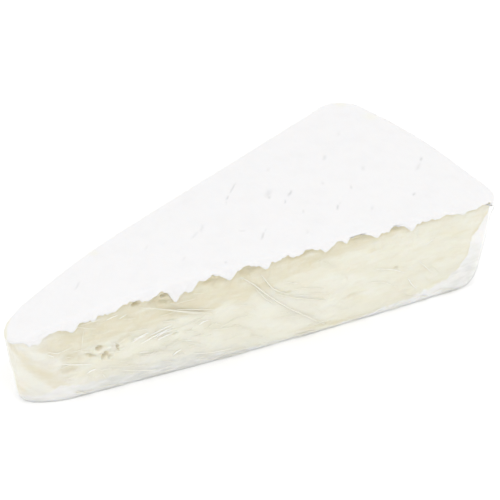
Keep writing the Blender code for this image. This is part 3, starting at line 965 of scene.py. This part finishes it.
class Shader:
    """A material's nodes, written as nested calls."""

    def __init__(self, name):
        self.material = bpy.data.materials.new(name)
        self.material.use_nodes = True
        self.tree = self.material.node_tree
        self.tree.nodes.clear()

    def node(self, kind, inputs=None, **settings):
        made = self.tree.nodes.new("ShaderNode" + kind)
        for label, value in settings.items():
            setattr(made, label, value)
        for key, value in (inputs or {}).items():
            if isinstance(value, bpy.types.NodeSocket):
                self.tree.links.new(value, made.inputs[key])
            else:
                made.inputs[key].default_value = value
        return made

    def number(self, label):
        return self.node("Attribute", attribute_name=label).outputs["Fac"]

    def noise(self, size_mm, detail=3.0, stretch=(1.0, 1.0, 1.0), tilt=0.0):
        where = self.node("TexCoord").outputs["Object"]
        turn = (0.0, math.radians(tilt), 0.0)
        scaled = self.node("Mapping", {"Vector": where, "Rotation": turn, "Scale": stretch}).outputs["Vector"]
        inputs = {"Vector": scaled, "Scale": 1000.0 / size_mm, "Detail": detail}
        return self.node("TexNoise", inputs).outputs["Fac"]

    def math(self, operation, a, b=0.0, clamp=False):
        return self.node("Math", {0: a, 1: b}, operation=operation, use_clamp=clamp).outputs[0]

    def span(self, value, low, high, to_low=0.0, to_high=1.0):
        inputs = {"Value": value, "From Min": low, "From Max": high, "To Min": to_low, "To Max": to_high}
        return self.node("MapRange", inputs, interpolation_type="SMOOTHSTEP").outputs["Result"]

    def streaks(self):
        """Slanting streaks of the milkiness, round 1."""
        return self.span(self.noise(3.0, 3.0, (0.35, 1.0, 1.2), 12.0), 0.35, 0.65, 0.65, 1.2)

    def blend(self, share, low, high):
        made = self.node("Mix", {"Factor": share}, data_type="RGBA")
        for key, value in ((6, low), (7, high)):
            if isinstance(value, bpy.types.NodeSocket):
                self.tree.links.new(value, made.inputs[key])
            else:
                made.inputs[key].default_value = (*value, 1.0)
        return made.outputs[2]

    def finish(self, surface):
        self.node("OutputMaterial", {"Surface": surface})
        return self.material


PASTE_CORE = (0.785, 0.775, 0.685)
PASTE_BODY = (0.76, 0.74, 0.63)
PASTE_RIPE = (0.69, 0.64, 0.48)
# Darkest ripe paste, also the painted shade in the hollows and under the rind's edge
PASTE_DARK_AND_SHADE = (0.48, 0.41, 0.24)
RIND_WHITE = (0.795, 0.79, 0.80)
RIND_FAINT = (0.78, 0.775, 0.785)
# Grey painted into the rind's creases as their shade
RIND_CREASE_SHADE = (0.60, 0.60, 0.61)
RIND_STAIN = (0.79, 0.78, 0.70)
RIND_SIDE = (0.83, 0.83, 0.83)
RIND_DAMP = (0.78, 0.775, 0.755)
# Grey of the gathered film at the foot, with painted shade
RIND_FOOT_GREY_AND_SHADE = (0.66, 0.66, 0.63)
BLOOM = (0.82, 0.815, 0.795)
FOLD_CREAM = (0.80, 0.78, 0.685)
# White of a painted glint on the higher folds
FOLD_GLINT_WHITE = (0.96, 0.96, 0.95)
FILM_CLEAR = (0.995, 0.995, 0.99)
FILM_EDGE_ON = (0.985, 0.985, 0.98)
FILM_MILK = (0.91, 0.905, 0.90)
FLOOR_SHADES = ((0.975, 0.975, 0.975), (0.98, 0.98, 0.98))


def rind_material():
    s = Shader("rind")
    white = s.blend(s.span(s.noise(6.0, 5.0), 0.40, 0.75), RIND_WHITE, RIND_FAINT)
    white = s.blend(s.math("MULTIPLY", s.number("stain"), 0.6, clamp=True), white, RIND_STAIN)
    # Painted shade in the creases of the top rind
    white = s.blend(s.math("MULTIPLY", s.number("crease"), 0.9, clamp=True), white, RIND_CREASE_SHADE)
    white = s.blend(s.math("MULTIPLY", s.number("bare"), 0.8, clamp=True), white, PASTE_BODY)
    felt = s.math("ADD", s.noise(0.8, 3.0), s.noise(2.4, 3.0))
    normal = s.node("Bump", {"Height": felt, "Distance": 0.00006, "Strength": 0.5}).outputs["Normal"]
    shell = s.node("BsdfPrincipled", {
        "Base Color": white, "Roughness": 0.85, "Normal": normal, "Specular IOR Level": 0.1,
        "Subsurface Weight": 0.35, "Subsurface Radius": (1.0, 0.9, 0.8), "Subsurface Scale": 0.0010,
    })
    return s.finish(shell.outputs["BSDF"])


def cheese_material():
    s = Shader("cheese")
    ragged = s.math("MULTIPLY", s.math("SUBTRACT", s.noise(1.6, 4.0), 0.5), 1.8)
    inside = s.math("ADD", s.number("inside_rind"), ragged)
    mottle = s.math("MULTIPLY", s.math("SUBTRACT", s.noise(2.2, 4.0, (0.35, 1.0, 1.6), 12.0), 0.5), 0.9)
    # The ripe number carries the painted shade under the rind's edge and in the hollows, so the ripe and dark
    # colours below paint that shade too
    ripe_and_shade = s.math("ADD", s.number("ripe_and_shade"), mottle, clamp=True)
    body = s.blend(s.span(s.noise(7.0, 4.0, (0.5, 1.0, 1.4), 12.0), 0.38, 0.66), PASTE_BODY, PASTE_CORE)
    paste = s.blend(s.span(ripe_and_shade, 0.0, 0.75), body, PASTE_RIPE)
    paste = s.blend(s.span(ripe_and_shade, 0.7, 1.5, 0.0, 0.9), paste, PASTE_DARK_AND_SHADE)
    white = s.blend(s.span(s.noise(5.0, 5.0), 0.40, 0.70, 0.0, 0.7), RIND_SIDE, RIND_DAMP)
    # Grey of the gathered film and painted shade at the foot
    patches = s.span(s.noise(2.5, 4.0, (0.5, 1.0, 1.5)), 0.35, 0.65, 0.2, 1.5)
    foot = s.math("MULTIPLY", s.number("foot"), patches)
    white = s.blend(s.math("MINIMUM", foot, 1.0), white, RIND_FOOT_GREY_AND_SHADE)
    colour = s.blend(s.span(inside, -0.5, 0.7), paste, white)
    colour = s.blend(s.math("MULTIPLY", s.number("bloom"), s.streaks(), clamp=True), colour, BLOOM)
    colour = s.blend(s.math("MULTIPLY", foot, 0.5, clamp=True), colour, RIND_FOOT_GREY_AND_SHADE)
    grain = s.math("ADD", s.noise(0.9, 3.0), s.noise(2.4, 3.0, (0.4, 1.0, 1.6), 12.0))
    normal = s.node("Bump", {"Height": grain, "Distance": 0.00010, "Strength": 0.5}).outputs["Normal"]
    shell = s.node("BsdfPrincipled", {
        "Base Color": colour, "Roughness": 0.6, "Normal": normal, "Specular IOR Level": 0.25,
        "Subsurface Weight": 0.5, "Subsurface Radius": (1.0, 0.8, 0.55), "Subsurface Scale": 0.0020,
    })
    return s.finish(shell.outputs["BSDF"])


def film_material():
    s = Shader("film")
    facing = s.node("LayerWeight", {"Blend": 0.5}).outputs["Facing"]
    shine = s.math("ADD", s.math("MULTIPLY", s.math("POWER", facing, 5.0), 0.6), 0.05)
    shine = s.math("MULTIPLY", shine, s.number("loose"))
    fine = s.noise(2.0, 3.0, (0.3, 1.0, 1.0))
    normal = s.node("Bump", {"Height": fine, "Distance": 0.00008, "Strength": 0.5}).outputs["Normal"]
    tint = s.blend(s.math("POWER", facing, 4.0), FILM_CLEAR, FILM_EDGE_ON)
    clear = s.node("BsdfTransparent", {"Color": tint}).outputs[0]
    shiny = {"Color": (1.0, 1.0, 1.0, 1.0), "Roughness": 0.12, "Normal": normal}
    gloss = s.node("BsdfGlossy", shiny).outputs[0]
    milky = s.node("BsdfDiffuse", {"Color": (*FILM_MILK, 1.0)}).outputs[0]
    skin = s.node("MixShader", {0: shine, 1: clear, 2: gloss}).outputs[0]
    haze = s.math("MULTIPLY", s.number("haze"), s.streaks(), clamp=True)
    return s.finish(s.node("MixShader", {0: haze, 1: skin, 2: milky}).outputs[0])


def fold_material():
    """Film doubled up in a fold, cream as what is under it where it is low, and white, a painted glint, where
    it is high.
    """
    s = Shader("film_folds")
    fine = s.noise(1.2, 3.0)
    uneven = s.span(fine, 0.35, 0.65, 0.7, 1.3)
    # Painted glint: the higher folds turn white
    white = s.math("MULTIPLY", s.number("glint_whiteness"), uneven, clamp=True)
    normal = s.node("Bump", {"Height": fine, "Distance": 0.00005, "Strength": 0.5}).outputs["Normal"]
    shell = s.node("BsdfPrincipled", {
        "Base Color": s.blend(white, FOLD_CREAM, FOLD_GLINT_WHITE), "Roughness": 0.4, "Normal": normal,
        "Specular IOR Level": 0.2,
    })
    return s.finish(shell.outputs["BSDF"])


def floor_material():
    s = Shader("floor")
    cloud = s.blend(s.noise(400.0, 2.0), *FLOOR_SHADES)
    return s.finish(s.node("BsdfDiffuse", {"Color": cloud}).outputs[0])


FLOOR_HALF = 3.0  # metres
FLOOR_LOW = -0.00002  # metres, just under the wedge so that the two don't share a plane


def make_floor():
    size, low = FLOOR_HALF, FLOOR_LOW
    mesh = bpy.data.meshes.new("floor")
    corners = [(-size, -size, low), (size, -size, low), (size, size, low), (-size, size, low)]
    mesh.from_pydata(corners, [], [(0, 1, 2, 3)])
    floor = bpy.data.objects.new("floor", mesh)
    floor.data.materials.append(floor_material())
    bpy.context.scene.collection.objects.link(floor)


# Camera as the photograph's outline fixes it: target in metres, angles in degrees
CAMERA_TARGET = Vector((0.01296, 0.00623, 0.0150))
CAMERA_AZIMUTH = -37.13
CAMERA_ELEVATION = 35.04
CAMERA_DISTANCE = 0.6716
CAMERA_FIELD = 14.0
CAMERA_NEAR = 0.01

# Lamps: name, azimuth, elevation, then distance and size in metres, and power in watts
LAMPS = (
    ("key", -15.0, 62.0, 1.0, 0.20, 0.8),
    ("fill", -75.0, 45.0, 1.2, 0.30, 0.4),
)
STUDIO_STRENGTH = 1.1


def ahead(azimuth, elevation):
    """The direction a viewer looks in, from azimuth 0 along +Y."""
    turn, tilt = math.radians(azimuth), math.radians(elevation)
    return Vector((-math.sin(turn) * math.cos(tilt), math.cos(turn) * math.cos(tilt), -math.sin(tilt)))


def make_camera():
    camera = bpy.data.objects.new("camera", bpy.data.cameras.new("camera"))
    camera.data.angle = math.radians(CAMERA_FIELD)
    camera.data.clip_start = CAMERA_NEAR
    look = ahead(CAMERA_AZIMUTH, CAMERA_ELEVATION)
    camera.location = CAMERA_TARGET - look * CAMERA_DISTANCE
    camera.rotation_euler = look.to_track_quat("-Z", "Y").to_euler()
    bpy.context.scene.collection.objects.link(camera)
    bpy.context.scene.camera = camera


def make_lamp(name, azimuth, elevation, distance, size, power):
    lamp = bpy.data.objects.new(name, bpy.data.lights.new(name, "AREA"))
    lamp.data.shape = "SQUARE"
    lamp.data.size = size
    lamp.data.energy = power
    look = ahead(azimuth, elevation)
    lamp.location = -look * distance
    lamp.rotation_euler = look.to_track_quat("-Z", "Y").to_euler()
    bpy.context.scene.collection.objects.link(lamp)


def make_light():
    scene = bpy.context.scene
    scene.world = bpy.data.worlds.new("studio")
    scene.world.use_nodes = True
    back = scene.world.node_tree.nodes["Background"]
    back.inputs["Color"].default_value = (1.0, 1.0, 1.0, 1.0)
    back.inputs["Strength"].default_value = STUDIO_STRENGTH
    for lamp in LAMPS:
        make_lamp(*lamp)
    scene.view_settings.view_transform = "Standard"


def main():
    make_camera()
    make_light()
    make_floor()
    looks = (
        (make_rind(), rind_material()),
        (make_cheese(), cheese_material()),
        (make_film(), film_material()),
        (make_folds(), fold_material()),
    )
    for piece, look in looks:
        piece.data.materials.append(look)
        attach(piece, "root")
        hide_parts(NODE)


main()
